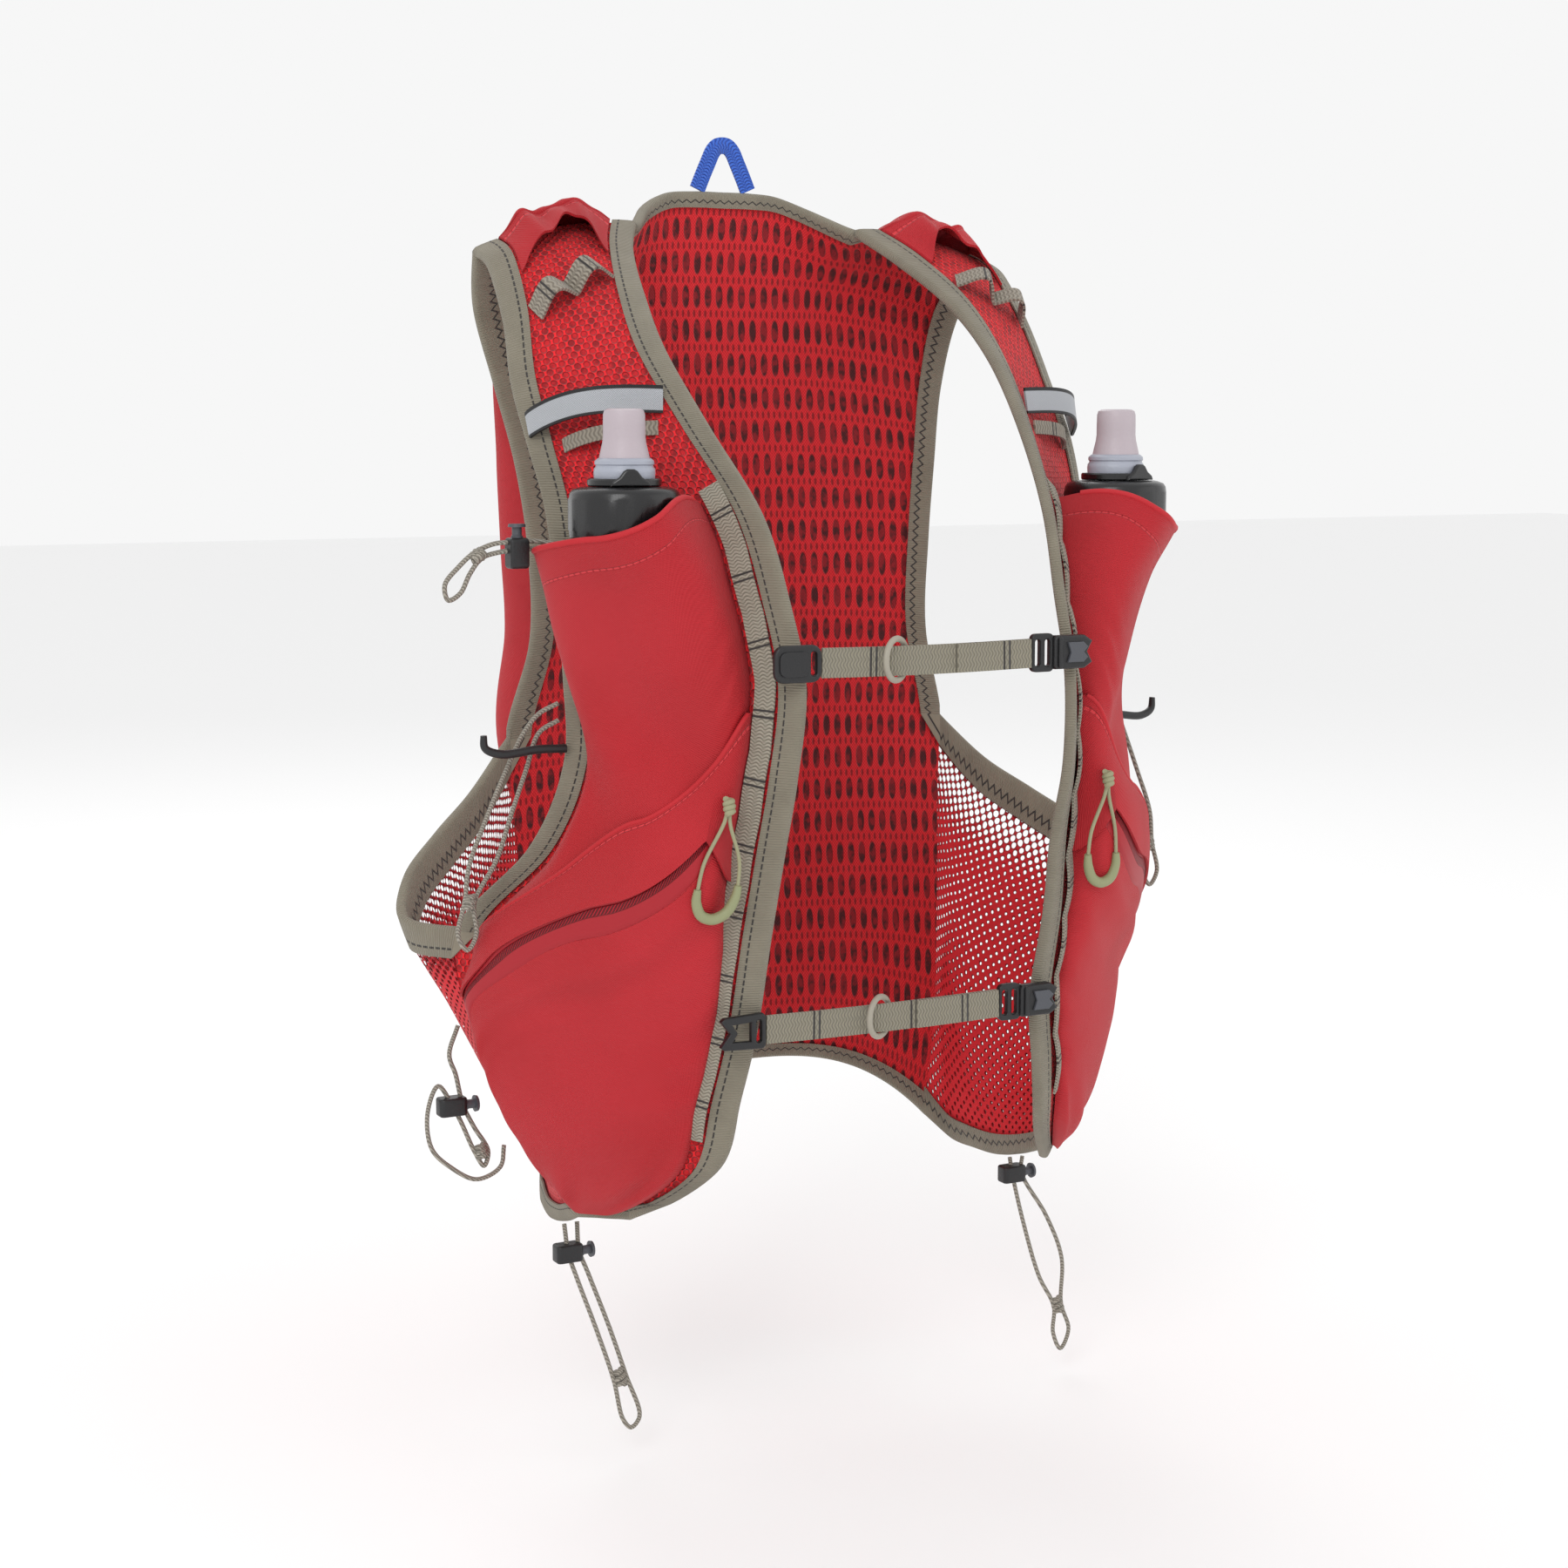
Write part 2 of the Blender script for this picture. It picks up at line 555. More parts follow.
for name, route, sign, knot_rows, knot_length, lock_rows in (
    ("right_pocket", pocket_route, 1, (4, 10), 0.007, (2, 12)),
    ("right_pole", pole_route, -1, (6, 10), 0.008, None),
    ("left_pole", pole_route, 1, (6, 10), 0.008, None),
    ("right_side", side_route, 1, (5, 7), 0.008, (3, 9)),
    ("right_hem", right_hem_route, 1, (4, 8), 0.010, (1, 11)),
    ("left_hem", left_hem_route, 1, (4, 8), 0.010, (1, 11)),
):
    lock = cord_lock(name + "_lock", route, lock_rows, name == "right_pocket") if lock_rows else []
    free_cord(name + "_cord", route, sign, knot_rows, knot_length)

# %% [markdown]
# ## The body of the vest
# Two strap panels run over the shoulders and down the front, a back panel hangs between them, and wings close
# the sides. Each is a smooth surface through a short table of places, the same one that the solids follow, so
# the cloth lies where they are. A grid on the surface gets two faces a wall apart.

# %% Smooth reading of a table
def catmull(a, b, c, d, f):
    return 0.5 * (2 * b + (c - a) * f + (2 * a - 5 * b + 4 * c - d) * f**2 + (3 * b - a - 3 * c + d) * f**3)


def spans(count, t):
    x = np.clip(t, 0, 1) * (count - 1)
    first = np.minimum(np.floor(x).astype(int), count - 2)
    return [np.clip(first + k, 0, count - 1) for k in (-1, 0, 1, 2)], x - first


def read(values, t):
    rows, f = spans(len(values), t)
    return catmull(*[values[k] for k in rows], f)


def ease(x):
    x = np.clip(x, 0, 1)
    return x * x * (3 - 2 * x)


print("half way between 0 and 1:", read(np.array([0.0, 1.0]), np.array(0.5)))

# %% Front panel: inner and outer edge, crown and pocket fill
front = table("inX inY inZ outX outY outZ bow bulk", [
    [0.44, 0.03, 0.00, 1.00, 0.00, 0.03, 0.025, 0.00],
    [0.52, 0.14, 0.03, 1.00, 0.09, 0.045, 0.025, 0.00],
    [0.59, 0.31, 0.075, 1.01, 0.20, 0.10, 0.02, 0.00],
    [0.62, 0.47, 0.13, 1.03, 0.28, 0.16, 0.005, 0.05],
    [0.59, 0.65, 0.20, 1.03, 0.37, 0.215, -0.01, 0.23],
    [0.53, 0.83, 0.28, 1.01, 0.445, 0.28, -0.015, 0.305],
    [0.50, 0.92, 0.36, 1.00, 0.485, 0.36, -0.015, 0.18],
    [0.49, 0.98, 0.435, 0.99, 0.505, 0.435, -0.01, 0.11],
    [0.505, 0.96, 0.52, 1.00, 0.52, 0.515, 0.00, 0.08],
    [0.51, 0.905, 0.595, 1.10, 0.48, 0.595, 0.01, 0.12],
    [0.525, 0.86, 0.675, 1.28, 0.335, 0.68, 0.03, 0.09],
    [0.53, 0.80, 0.765, 1.25, 0.345, 0.765, 0.04, 0.045],
    [0.57, 0.77, 0.835, 1.18, 0.365, 0.84, 0.035, 0.04],
    [0.605, 0.74, 0.895, 1.05, 0.39, 0.91, 0.025, 0.04],
    [0.70, 0.63, 0.955, 0.92, 0.43, 0.965, 0.01, 0.01]])
ARMHOLE_END = 10 / 14


def front_edge(v, side):
    return place(*[read(front[side + axis], v) for axis in "XYZ"])


def front_frame(v):
    v = np.asarray(v, float)
    inner, outer = front_edge(v, "in"), front_edge(v, "out")
    above, below = np.maximum(v - 0.02, 0), np.minimum(v + 0.02, 1)
    down = (front_edge(below, "in") + front_edge(below, "out")
            - front_edge(above, "in") - front_edge(above, "out")) / 2
    across = unit(outer - inner)
    out = unit(np.cross(down, across))
    return inner, across, out, np.linalg.norm(outer - inner, axis=-1), read(front["bow"], v) * FRONT_REACH


def front_point(v, a, h):
    inner, across, out, width, bow = front_frame(v)
    t = a / width
    stand = bow * 4 * t * (1 - t) + h
    return inner + across * np.asarray(a)[..., None] + out * np.asarray(stand)[..., None]


def front_width(v):
    return front_frame(v)[3]


print("strap width at the shoulder:", round(float(front_width(0.0)) * 1000, 1), "mm")

# %% Back panel and neck
back = table("edgeX edgeY edgeZ midY midZ", [
    [1.00, 0.00, 0.03, -0.11, -0.04], [0.95, -0.09, 0.085, -0.135, 0.045], [0.88, -0.09, 0.16, -0.135, 0.135],
    [0.825, -0.055, 0.24, -0.12, 0.225], [0.79, -0.04, 0.325, -0.11, 0.32], [0.785, -0.045, 0.42, -0.10, 0.41],
    [0.87, -0.065, 0.52, -0.09, 0.51], [0.855, -0.05, 0.625, -0.08, 0.615], [0.84, -0.03, 0.73, -0.065, 0.715],
    [0.81, -0.005, 0.85, -0.055, 0.81], [0.755, 0.01, 0.96, -0.05, 0.88]])
neck = table("forward down", [[-0.11, -0.04], [-0.113, -0.04], [-0.113, -0.037], [-0.07, -0.022], [0.03, 0.0]])
NECK_SHARE = 0.44      # of the back's half width, at the collar
WING_TOP = 0.6         # share of the back's height where the wings start


def crest_point(s):
    beyond = np.maximum(s - NECK_SHARE, 0) / (1 - NECK_SHARE) * front_width(0.0)
    t = np.minimum(s / NECK_SHARE, 1)
    collar = place(s, read(neck["forward"], t), read(neck["down"], t))
    return np.where((s >= NECK_SHARE)[..., None], front_point(np.zeros_like(s), beyond, 0.0), collar)


def back_point(u, v):
    u, v = np.broadcast_arrays(np.asarray(u, float), np.asarray(v, float))
    s = np.abs(u)
    rows, f = spans(len(back["edgeX"]), v)

    def row(k):
        low = place(back["edgeX"][k] * s, back["midY"][k] + (back["edgeY"][k] - back["midY"][k]) * s**2,
                    back["midZ"][k] + (back["edgeZ"][k] - back["midZ"][k]) * s**3)
        return np.where((k == 0)[..., None], crest_point(s), low)

    point = catmull(*[row(k) for k in rows], f[..., None])
    point[..., 0] *= np.where(u < 0, -1, 1)
    return point


print("collar's height:", round(float(back_point(0, 0)[2]) * 1000, 1), "mm")

# %% Side wings
wing = table("topX topY topZ hemX hemY hemZ", [
    [0.87, -0.065, 0.52, 0.755, 0.01, 0.96], [1.03, -0.015, 0.57, 0.83, 0.07, 0.985],
    [1.19, 0.045, 0.605, 0.87, 0.15, 0.99], [1.34, 0.12, 0.64, 0.895, 0.24, 0.99],
    [1.40, 0.215, 0.675, 0.905, 0.34, 0.98], [1.28, 0.335, 0.68, 0.92, 0.43, 0.965]])
WING_TUCK = 0.024


def wing_point(u, v):
    u, v = (n[..., None] for n in np.broadcast_arrays(np.asarray(u, float), np.asarray(v, float)))

    def edge(name, t):
        return place(*[read(wing[name + axis], t[..., 0]) for axis in "XYZ"])

    def rear(t):
        return back_point(1.0, WING_TOP + (1 - WING_TOP) * t[..., 0])

    def fore(t):
        low = ARMHOLE_END + (1 - ARMHOLE_END) * t[..., 0]
        return front_point(low, front_width(low), 0.0)

    zero, one = np.zeros_like(v), np.ones_like(v)
    rails = edge("top", u) * (1 - v) + edge("hem", u) * v
    sides = rear(v) * (1 - u) + fore(v) * u
    corners = ((rear(zero) * (1 - u) + fore(zero) * u) * (1 - v) + (rear(one) * (1 - u) + fore(one) * u) * v)
    tuck = WING_TUCK * np.sin(math.pi * u) * np.sin(math.pi * v)
    return rails + sides - corners + np.concatenate([-tuck, tuck / 3, 0 * tuck], -1)


print("wing's middle:", np.round(wing_point(0.5, 0.5) * 1000, 1))

# %% Cloth of one thickness on a grid
SIDES = (("left", 1), ("right", -1))


def face_out(point, u, v, low=0.0):
    step = 0.01
    side = point(np.minimum(u + step, 1), v) - point(np.maximum(u - step, low), v)
    down = point(u, np.minimum(v + step, 1)) - point(u, np.maximum(v - step, 0))
    return unit(np.cross(side, down))


def grid_marks(at):
    along = np.linalg.norm(np.diff(at, axis=1), axis=2)
    x = np.concatenate([np.zeros((len(at), 1)), np.cumsum(along, axis=1)], 1)
    x -= x[:, [x.shape[1] // 2]]
    y = distances(at[:, at.shape[1] // 2])[:, None] + 0 * x
    return np.stack([x, y], -1).reshape(-1, 2) * 1000


def thick(at, out, wall):
    rows, columns = at.shape[:2]
    count = rows * columns
    k = np.arange(count).reshape(rows, columns)
    face = np.stack([k[:-1, :-1], k[:-1, 1:], k[1:, 1:], k[1:, :-1]], -1).reshape(-1, 4)
    rim = np.concatenate([k[0, :], k[1:, -1], k[-1, -2::-1], k[-2:0:-1, 0]])
    after = np.roll(rim, -1)
    hem = np.stack([rim, rim + count, after + count, after], -1)
    points = np.concatenate([(at + out * wall / 2).reshape(-1, 3), (at - out * wall / 2).reshape(-1, 3)])
    return points, np.concatenate([face, face[:, ::-1] + count, hem]).tolist()


def sewn(node, at, out, wall, finish, slot, sign=1):
    marks = np.tile(grid_marks(at), (2, 1))
    made = piece(node + "_skin", *thick(at * [sign, 1, 1], out * [sign, 1, 1], wall), finish, [node], marks,
                 slot=slot)


def sewn_pair(kind, *cloth):
    for side, sign in SIDES:
        sewn(f"{side}_{kind}", *cloth, sign)


print("two faces and a rim for", thick(np.zeros((2, 2, 3)), np.ones((2, 2, 3)), 1)[0].shape[0], "points")

# %% Panels
MESH_WALL, WING_WALL, CLOTH_WALL = 0.0022, 0.0014, 0.0012
LAYER_GAP, SEAM_GAP, CREST_GAP = 0.0005, 0.0008, 0.0024
BINDING = 0.010
CREST_SHARE = CREST_GAP / 2 / VEST_DROP
CORNER_REACH, CORNER_TOP = 0.020, 0.93


def grid(columns, rows, low=0.0):
    return np.meshgrid(np.linspace(low, 1, columns), np.linspace(0, 1, rows))


u, v = grid(91, 141, -1.0)
u, v = u * (1 - SEAM_GAP / (2 * HALF_WIDTH)), np.maximum(v, CREST_SHARE)
sewn("back_liner", back_point(u, v), face_out(back_point, u, v, -1.0), MESH_WALL, back_mesh, "air_mesh")


def round_corner(v):
    return CORNER_REACH * np.clip((np.asarray(v) - CORNER_TOP) / (1 - CORNER_TOP), 0, 1) ** 2


s, v = grid(41, 161)
v = np.maximum(v, CREST_SHARE)
a = round_corner(v) + s * (front_width(v) - round_corner(v) - np.where(v > ARMHOLE_END, SEAM_GAP / 2, 0))
sewn_pair("front_panel", front_point(v, a, 0.0), front_frame(v)[2], MESH_WALL, strap_mesh, "air_mesh")

u, v = grid(61, 61)
u = np.clip(u, 0.007, 0.993)
sewn_pair("side_wing", wing_point(u, v), face_out(wing_point, u, v), WING_WALL, wing_mesh, "air_mesh")
print("panels made")

# %% [markdown]
# ## Bound edges
# A tape is folded round every raw edge: one round the neck, down both fronts and along the hem, and one round
# each armhole. A rounded channel is swept along the rim, with its two flanges lying on the panels.

# %% Places of the rims
def on_back(u, v):
    return back_point(u, np.maximum(v, CREST_SHARE)), face_out(back_point, u, np.maximum(v, 0.012), -1.0)


def on_front(v, a):
    at = front_point(v, a, 0.0)
    return at, np.broadcast_to(front_frame(v)[2], at.shape)


def on_wing(u, v):
    return wing_point(u, v), face_out(wing_point, u, v)


def run(rim, inner, away=None):
    rim_at, rim_out, inner_at, inner_out = (np.atleast_2d(n) for n in (*rim, *inner))
    away = unit(rim_at - inner_at) if away is None else np.broadcast_to(away, rim_at.shape)
    return np.stack([rim_at, rim_out, inner_at, inner_out, away], 1)


HEM_WIDTH = float(front_width(1.0))
HEM_START = float(round_corner(1.0))
corner = on_front(0.0, 0.0)
neck_away = unit(corner[0] - back_point(0.6, 0.02))
n = np.linspace(0, NECK_SHARE - 0.012, 26)
d = np.linspace(0.02, 0.975, 170)
e = np.linspace(HEM_START + 0.004, HEM_WIDTH - BINDING, 14)
w = np.linspace(1, 0, 56)
half_rim = np.concatenate([
    run(on_back(n, 0 * n), on_back(n, 0 * n + 0.024)),
    run(corner, on_back(np.array(NECK_SHARE), np.array(0.024)), neck_away),
    run(corner, on_front(0.0, BINDING), neck_away),
    run(on_front(d, round_corner(d)), on_front(d - 0.3 * round_corner(d), round_corner(d) + BINDING)),
    run(on_front(1.0, HEM_START), on_front(0.977, HEM_START + 0.6 * BINDING)),
    run(on_front(0 * e + 1, e), on_front(0 * e + 0.977, e)),
    run(on_wing(w, 0 * w + 1), on_wing(w, 0 * w + 0.92)),
    run(on_back(w[::2], 0 * w[::2] + 1), on_back(w[::2], 0 * w[::2] + 0.976)),
])
print("stations of half the rim:", len(half_rim))

# %% Channel folded round a rim
BINDING_WALL = 0.0008
PLAIN_STATION = 40     # a station well away from the corners, where the tape's width is measured


def channel(stations):
    half, beyond = MESH_WALL / 2 + LAYER_GAP, LAYER_GAP + BINDING_WALL
    full = half + BINDING_WALL
    section = [(0, 0, full), (0.35, 0, full * 1.04), (0.75, 0, full * 1.02), (1, 0, full * 0.94),
               (1, beyond * 0.7, full * 0.7), (1, beyond, full * 0.25), (1, beyond, -full * 0.25),
               (1, beyond * 0.7, -full * 0.7), (1, 0, -full * 0.94), (0.75, 0, -full * 1.02),
               (0.35, 0, -full * 1.04), (0, 0, -full), (0, 0, -half), (0.9, 0, -half), (1, LAYER_GAP, 0),
               (0.9, 0, half), (0, 0, half)]
    rim_at, rim_out, inner_at, inner_out, away = (stations[:, None, k] for k in range(5))
    share, reach, height = (np.array(column)[None, :, None] for column in zip(*section))
    rings = (inner_at + (rim_at - inner_at) * share + away * reach
             + (inner_out * (1 - share) + rim_out * share) * height)
    x, y = distances(stations[:, 0])[:, None], distances(rings[PLAIN_STATION])[None, :]
    return rings, np.stack(np.broadcast_arrays(x, y), -1).reshape(-1, 2) * 1000


whole_rim = np.concatenate([half_rim, (half_rim * [-1, 1, 1])[::-1]])
rings, marks = channel(whole_rim)
piece("edge_binding_skin", *loft(rings, closed=True), bound, ["edge_binding"], marks, slot="binding")
print("bound edge is", round(length_of(whole_rim[:, 0]), 2), "m long")

# %% Armhole bindings
n = np.linspace(CREST_SHARE, WING_TOP - 0.012, 60)
c = np.linspace(0.06, 0.94, 44)
d = np.linspace(ARMHOLE_END - 0.012, 0.0, 90)
rear_corner = on_back(np.array(1.0), np.array(WING_TOP))
fore_width = float(front_width(ARMHOLE_END))
fore_corner = on_front(ARMHOLE_END, fore_width)
rear_away = unit(rear_corner[0] - wing_point(0.0, 0.3))
fore_away = unit(fore_corner[0] - wing_point(1.0, 0.3))
armhole = np.concatenate([
    run(on_back(0 * n + 1, n), on_back(0 * n + 0.91, n)),
    run(rear_corner, on_back(np.array(0.91), np.array(WING_TOP)), rear_away),
    run(rear_corner, on_wing(0.0, 0.08), rear_away),
    run(on_wing(c, 0 * c), on_wing(c, 0 * c + 0.08)),
    run(fore_corner, on_wing(1.0, 0.08), fore_away),
    run(fore_corner, on_front(ARMHOLE_END, fore_width - BINDING), fore_away),
    run(on_front(d, front_width(d)), on_front(d, front_width(d) - BINDING)),
])
rings, marks = channel(armhole)
for side, sign in SIDES:
    piece(side + "_armhole_binding_skin", *loft(rings * [sign, 1, 1], closed=True), bound,
          [side + "_armhole_binding"], marks, slot="binding")
print("armhole edge is", round(length_of(armhole[:, 0]), 2), "m long")

# %% [markdown]
# ## Pockets
# A stretch pocket holds the flask on each side, and a zipped pocket sits below it under a flap. The cloth
# bulges between its seams and is drawn into slanting folds from the seams and from the zip. The folds are a
# few waves that fade out, added to the smooth surface, because a simulation would loosen the sewn edges.

# %% Pocket surface
LADDER_WIDTH = 0.009
POCKET_SEAM = BINDING + LADDER_WIDTH + 0.0045
pocket_lines = table("mouth flap zip hem", [
    [0.350, 0.520, 0.592, 0.975], [0.375, 0.560, 0.630, 0.985], [0.390, 0.608, 0.676, 0.985],
    [0.396, 0.664, 0.725, 0.985], [0.396, 0.712, 0.772, 0.975]])


def pocket_frame(s, v, layer):
    below = ease((v - ARMHOLE_END - 0.01) / 0.05)
    over = 0.8 * ease((0.60 - v) / 0.16)
    end = front_width(v) - (BINDING + 0.0045) * (1 - below) * (1 - over) - 0.002 * below
    seam = POCKET_SEAM - 0.007 * ease((v - 0.60) / 0.16) + round_corner(v)
    step = layer * (CLOTH_WALL + 2 * LAYER_GAP)
    half = (end - seam) / 2 + step
    turn = math.pi * s
    side = np.sign(np.cos(turn)) * np.abs(np.cos(turn)) ** 0.7
    rise = np.maximum(np.sin(turn), 0) ** 0.55
    base = MESH_WALL / 2 + LAYER_GAP + CLOTH_WALL / 2 + 0.0012 * over * s
    return (seam + end) / 2 - half * side, base, step, rise


def pocket_point(s, v, layer, extra=0.0):
    a, base, step, rise = pocket_frame(s, v, layer)
    fill = read(front["bulk"], v) * FRONT_REACH
    return front_point(v, a, base + (fill + step) * rise + extra)


def pocket_cloth(kind, top, foot, layer, columns, rows, finish, slot, folds=lambda s, t: 0 * s):
    s, t = grid(columns, rows)
    high, low = top(s), foot(s)
    v = high + (low - high) * t
    edge = np.sin(math.pi * s) ** 0.5 * np.clip(np.minimum(t, 1 - t) * 12, 0, 1)
    at = pocket_point(s, v, layer, folds(s, t) * edge)
    out = -face_out(lambda a, b: pocket_point(a, high + (low - high) * b, layer), s, t)
    sewn_pair(kind, at, out, CLOTH_WALL, finish, slot)


def line(name, shift=0.0):
    return lambda s: read(pocket_lines[name], s) + shift


def bump(x, middle, half):
    return np.exp(-((x - middle) / half) ** 2)


def ripple(s, t, across, down, start=0.0):
    return np.sin((s * across + t * down) * math.tau + start)


def flask_folds(s, t):
    slant = ripple(s, t, 2.9, 2.1, 0.6) * bump(t, 0.78, 0.26) * bump(s, 0.62, 0.34)
    waist = ripple(s, t, -1.5, 6.0) * bump(s, 0.10, 0.14) * bump(t, 0.6, 0.25)
    return 0.0030 * slant + 0.0012 * waist


def zip_folds(s, t):
    ridge = bump(t - 0.05 * s, 0.10, 0.045) - bump(t - 0.05 * s, 0.19, 0.06)
    inner = ripple(s, t, 1.2, 8.0) * bump(s, 0.0, 0.24) * bump(t, 0.52, 0.2)
    hem_pull = ripple(s, t, 3.4, -3.0, 2.0) * bump(t, 0.86, 0.13)
    side_pull = ripple(s, t, -1.4, 5.0) * bump(s, 0.95, 0.2) * bump(t, 0.5, 0.3)
    return 0.0016 * ridge + 0.0016 * inner + 0.0014 * hem_pull + 0.0010 * side_pull


def garage(s):
    return 0.075 * np.maximum(0, 1 - s / 0.22)


pocket_cloth("flask_pocket", line("mouth"), line("flap", 0.02), 0, 61, 81,
             seamed_cloth("flask_pocket_cloth", 13.5), "stretch_cloth", flask_folds)
pocket_cloth("zip_flap", line("flap"), lambda s: line("zip")(s) - 0.004 + garage(s), 1, 61, 21,
             seamed_cloth("zip_flap_cloth", 2.6), "stretch_cloth")
pocket_cloth("zip_pocket", line("zip", 0.021), line("hem"), 0, 61, 81,
             seamed_cloth("zip_pocket_cloth", 2.4), "stretch_cloth", zip_folds)
print("pockets sewn")

# %% Rolled hems of the mouth and of the flap's upper edge
s = np.linspace(0.02, 0.98, 90)
for kind, edge, layer, radius in (
    ("mouth_hem", line("mouth"), 0, 0.0013),
    ("flap_hem", line("flap"), 1, 0.0010),
):
    rolled = tube_rings(pocket_point(s, edge(s), layer), radius, 10)
    for side, sign in SIDES:
        piece(f"{side}_{kind}", *loft(rolled * [sign, 1, 1]), stretch,
              marks=np.ones((rolled.shape[0] * rolled.shape[1], 2)), slot="stretch_cloth")
print("hems rolled")

# %% [markdown]
# ## Zips
# The zip is a coil under a slanting flap, in the same red. It is a narrow strip of the pocket's surface, whose
# marks run along it, so that the coil's teeth and the woven edges are drawn by rule.

# %% Zip strip
zip_red = Finish("zip_coil", paint(168, 8, 30), 0.55)
x, y = zip_red.marks()
tooth = (x * (math.tau / 1.7)).wave()
coil = y.band(9.0, 2.4, 0.6)
zip_red.set("Base Color", zip_red.tint(coil, paint(164, 6, 26), zip_red.tint(
    tooth.rise(-0.5, 0.5), paint(96, 2, 14), paint(184, 18, 38))))
zip_red.relief(coil * (tooth * 0.3 + 1.0), 0.0012)
pocket_cloth("zip", line("zip", -0.012), line("zip", 0.026), 0, 81, 13, zip_red, "zip_tape",
             lambda s, t: 0 * s + 0.0007)
print(zip_red.material.name)

# %% [markdown]
# ## Storage behind the back
# A stuffed shell of stretch cloth is sewn to the back panel along its sides. It is fullest a little above the
# middle, and its cloth is pulled into soft upright folds near its upper and its lower end.

# %% Storage shell
shell = table("fill side", [[0.25, 0.05], [0.55, 0.18], [0.85, 0.25], [1.00, 0.28], [1.00, 0.28], [0.95, 0.20],
                            [0.80, 0.05], [0.55, 0.00], [0.12, 0.00]])
SHELL_DEPTH = 0.046
SHELL_SPREAD, SHELL_TOP, SHELL_FOOT = 0.86, 0.05, 0.9575


def shell_point(s, t):
    turn = math.pi * s
    rise = np.maximum(np.sin(turn), 0)
    side = -SHELL_SPREAD * np.sign(np.cos(turn)) * np.abs(np.cos(turn)) ** 0.6
    v = SHELL_TOP + (SHELL_FOOT - SHELL_TOP) * t
    fold = 0.0016 * ripple(s, t, 6.0, 1.5) * bump(t, 0.06, 0.16)
    fold = fold + 0.0015 * ripple(s, t, 3.2, 2.1, 0.7) * bump(t, 0.88, 0.12)
    base = MESH_WALL / 2 + LAYER_GAP + CLOTH_WALL / 2
    height = base + read(shell["fill"], t) * SHELL_DEPTH * rise ** 0.6 + fold * rise
    out = face_out(back_point, side, v, -1.0)
    return back_point(side * (1 + read(shell["side"], t) * rise ** 0.5), v) + out * height[..., None]


s, t = grid(81, 121)
s = 0.004 + 0.992 * s
sewn("back_shell", shell_point(s, t), face_out(shell_point, s, t, 0.004), CLOTH_WALL,
     seamed_cloth("shell_cloth", 60.0, 64.0, 262.0, 266.0), "stretch_cloth")
print("shell sewn")

# %% [markdown]
# ## Tapes across the straps
# A ladder of webbing runs down beside each front edge and is tacked every 28 mm, so it stands off a little
# between the tacks. A reflective band bows out over the flask's valve, and a wavy tape crosses the shoulder.
# All of them are flat tapes swept along a line with a width direction at each station.

# %% Flat tape along a line
def tape(name, at, side, width, wall, finish, slot, nodes=(), sign=1):
    run = unit(np.gradient(at, axis=0))
    side = unit(side - run * (side * run).sum(-1, keepdims=True))
    w = np.linspace(-0.5, 0.5, 7)[None]
    points = at[:, None] + side[:, None] * (w * width)[..., None]
    out = np.broadcast_to(np.cross(run, side)[:, None], points.shape)
    marks = np.stack(np.broadcast_arrays(distances(at)[:, None], (w + 0.5) * width), -1).reshape(-1, 2) * 1000
    piece(name, *thick(points * [sign, 1, 1], out * [sign, 1, 1], wall), finish, nodes, np.tile(marks, (2, 1)),
          slot=slot)


def tape_pair(kind, *band):
    for side, sign in SIDES:
        tape(f"{side}_{kind}_skin", *band, [f"{side}_{kind}"], sign)


LADDER_STEP = 0.0283
v = np.linspace(4.7 / 14, 0.895, 200)
rail = 0 * v + BINDING + 0.001 + LADDER_WIDTH / 2
fall = distances(front_point(v, rail, 0.0))
lift = MESH_WALL / 2 + 2 * LAYER_GAP + 0.0006 + 0.0013 * np.abs(np.sin(math.pi * fall / LADDER_STEP))
tape_pair("ladder_webbing", front_point(v, rail, lift), front_frame(v)[1], LADDER_WIDTH, 0.0010,
          ladder_tape, "webbing")
print("ladder is", round(fall[-1] * 1000), "mm long")

# %% Reflective band and shoulder tape
t = np.linspace(0, 1, 60)
v = 0.262 + 0.01 * t
a = BINDING + 0.001 + (front_width(v) - BINDING - 0.003) * t
h = MESH_WALL / 2 + 2 * LAYER_GAP + 0.0014 + 0.011 * np.sin(math.pi * t ** 1.2).clip(0) ** 0.8
band = front_point(v, a, h)
upright = 0.3 * np.cross(front_frame(v)[2], unit(np.gradient(band, axis=0))) + [0, 0, 0.7]
tape_pair("reflective_strap", band, upright, 0.0115, 0.0012, shining, "reflective")
elastic = front_point(v + 0.022, a * 0.72 + 0.012, h * 0.55)
for side, sign in SIDES:
    tape(side + "_elastic_keeper", elastic, upright, 0.006, 0.0010, shoulder_tape, "webbing", sign=sign)

v = 0.115 + 0.035 * t
a = BINDING + 0.003 + (front_width(v) - 2 * BINDING - 0.006) * t
h = MESH_WALL / 2 + 2 * LAYER_GAP + 0.0006 + 0.009 * np.abs(np.sin(2 * math.pi * t)) ** 1.3
wavy = front_point(v, a, h)
down = np.cross(front_frame(v)[2], unit(np.gradient(wavy, axis=0)))
tape_pair("shoulder_webbing", wavy, down, 0.010, 0.0012, shoulder_tape, "webbing")
print("band is", round(length_of(band) * 1000), "mm long")

